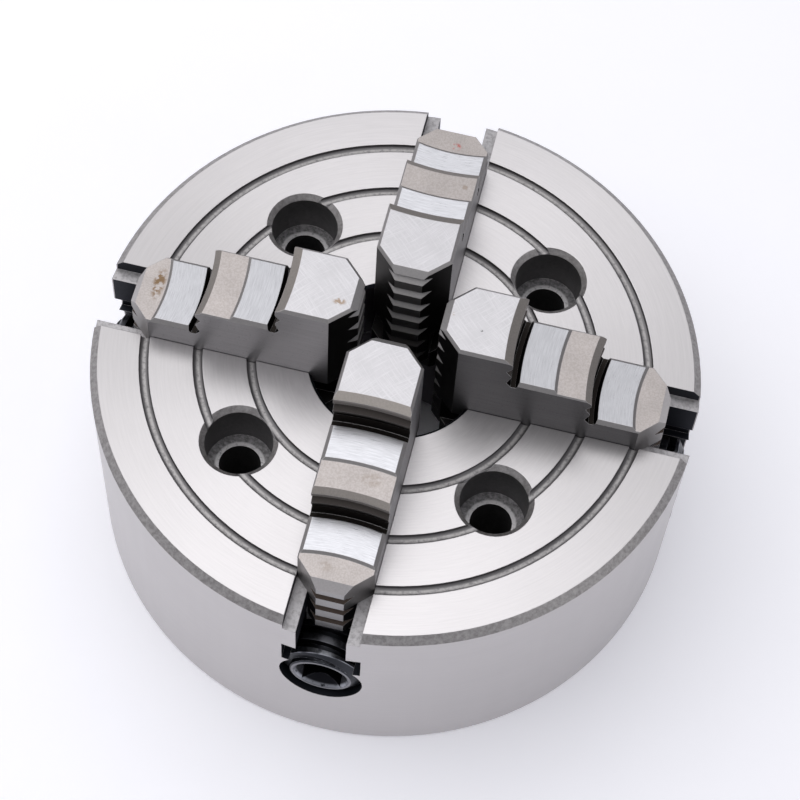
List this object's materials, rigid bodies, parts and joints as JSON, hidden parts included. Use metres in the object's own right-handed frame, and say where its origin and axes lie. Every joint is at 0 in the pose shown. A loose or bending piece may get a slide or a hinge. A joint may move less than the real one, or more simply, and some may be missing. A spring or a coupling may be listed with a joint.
{
  "type": "lathe chuck",
  "caption": "Round iron lathe chuck with independent stepped steel jaws in T slots, each moved by its own key-driven screw; centre bore and counterbored bolt holes.",
  "frame": {"origin": "centre of the back face, on the spindle axis", "axes": "+Z along the spindle axis from the back face towards the jaws; the jaws stand on +X, +Y, -X and -Y"},
  "size_m": [0.16, 0.16, 0.0955],
  "materials": {
    "cast_iron": "machined",
    "ground_steel": "ground",
    "black_steel": "black oxide",
    "block_steel": "machined"
  },
  "bodies": {
    "chuck_body": {"chuck_body": "cast_iron", "thrust_block_1": "block_steel", "thrust_block_2": "block_steel", "thrust_block_3": "block_steel", "thrust_block_4": "block_steel"},
    "jaw_screw_1": {"jaw_screw_1": "black_steel"},
    "jaw_1": {"jaw_1": "ground_steel"},
    "jaw_screw_2": {"jaw_screw_2": "black_steel"},
    "jaw_2": {"jaw_2": "ground_steel"},
    "jaw_screw_3": {"jaw_screw_3": "black_steel"},
    "jaw_3": {"jaw_3": "ground_steel"},
    "jaw_screw_4": {"jaw_screw_4": "black_steel"},
    "jaw_4": {"jaw_4": "ground_steel"}
  },
  "joints": [
    {"name": "jaw_screw_1_turn", "type": "hinge", "parent": "chuck_body", "child": "jaw_screw_1", "pos_m": [0.051, 0, 0.0365], "axis": [1, 0, 0], "range_deg": [-563.4, 1895.4]},
    {"name": "jaw_1_slide", "type": "slide", "parent": "chuck_body", "child": "jaw_1", "axis": [1, 0, 0], "range_m": [-0.00625, 0.02105]},
    {"name": "jaw_screw_2_turn", "type": "hinge", "parent": "chuck_body", "child": "jaw_screw_2", "pos_m": [0, 0.051, 0.0365], "axis": [0, 1, 0], "range_deg": [-374.4, 2084.4]},
    {"name": "jaw_2_slide", "type": "slide", "parent": "chuck_body", "child": "jaw_2", "axis": [0, 1, 0], "range_m": [-0.00415, 0.02315]},
    {"name": "jaw_screw_3_turn", "type": "hinge", "parent": "chuck_body", "child": "jaw_screw_3", "pos_m": [-0.051, 0, 0.0365], "axis": [-1, 0, 0], "range_deg": [-482.4, 1976.4]},
    {"name": "jaw_3_slide", "type": "slide", "parent": "chuck_body", "child": "jaw_3", "axis": [-1, 0, 0], "range_m": [-0.00535, 0.02195]},
    {"name": "jaw_screw_4_turn", "type": "hinge", "parent": "chuck_body", "child": "jaw_screw_4", "pos_m": [0, -0.051, 0.0365], "axis": [0, -1, 0], "range_deg": [-500.4, 1958.4]},
    {"name": "jaw_4_slide", "type": "slide", "parent": "chuck_body", "child": "jaw_4", "axis": [0, -1, 0], "range_m": [-0.00555, 0.02175]}
  ],
  "couplings": [
    {"joint": "jaw_screw_1_turn", "follows": "jaw_1_slide", "rad_per_m": 1570.8},
    {"joint": "jaw_screw_2_turn", "follows": "jaw_2_slide", "rad_per_m": 1570.8},
    {"joint": "jaw_screw_3_turn", "follows": "jaw_3_slide", "rad_per_m": 1570.8},
    {"joint": "jaw_screw_4_turn", "follows": "jaw_4_slide", "rad_per_m": 1570.8}
  ]
}
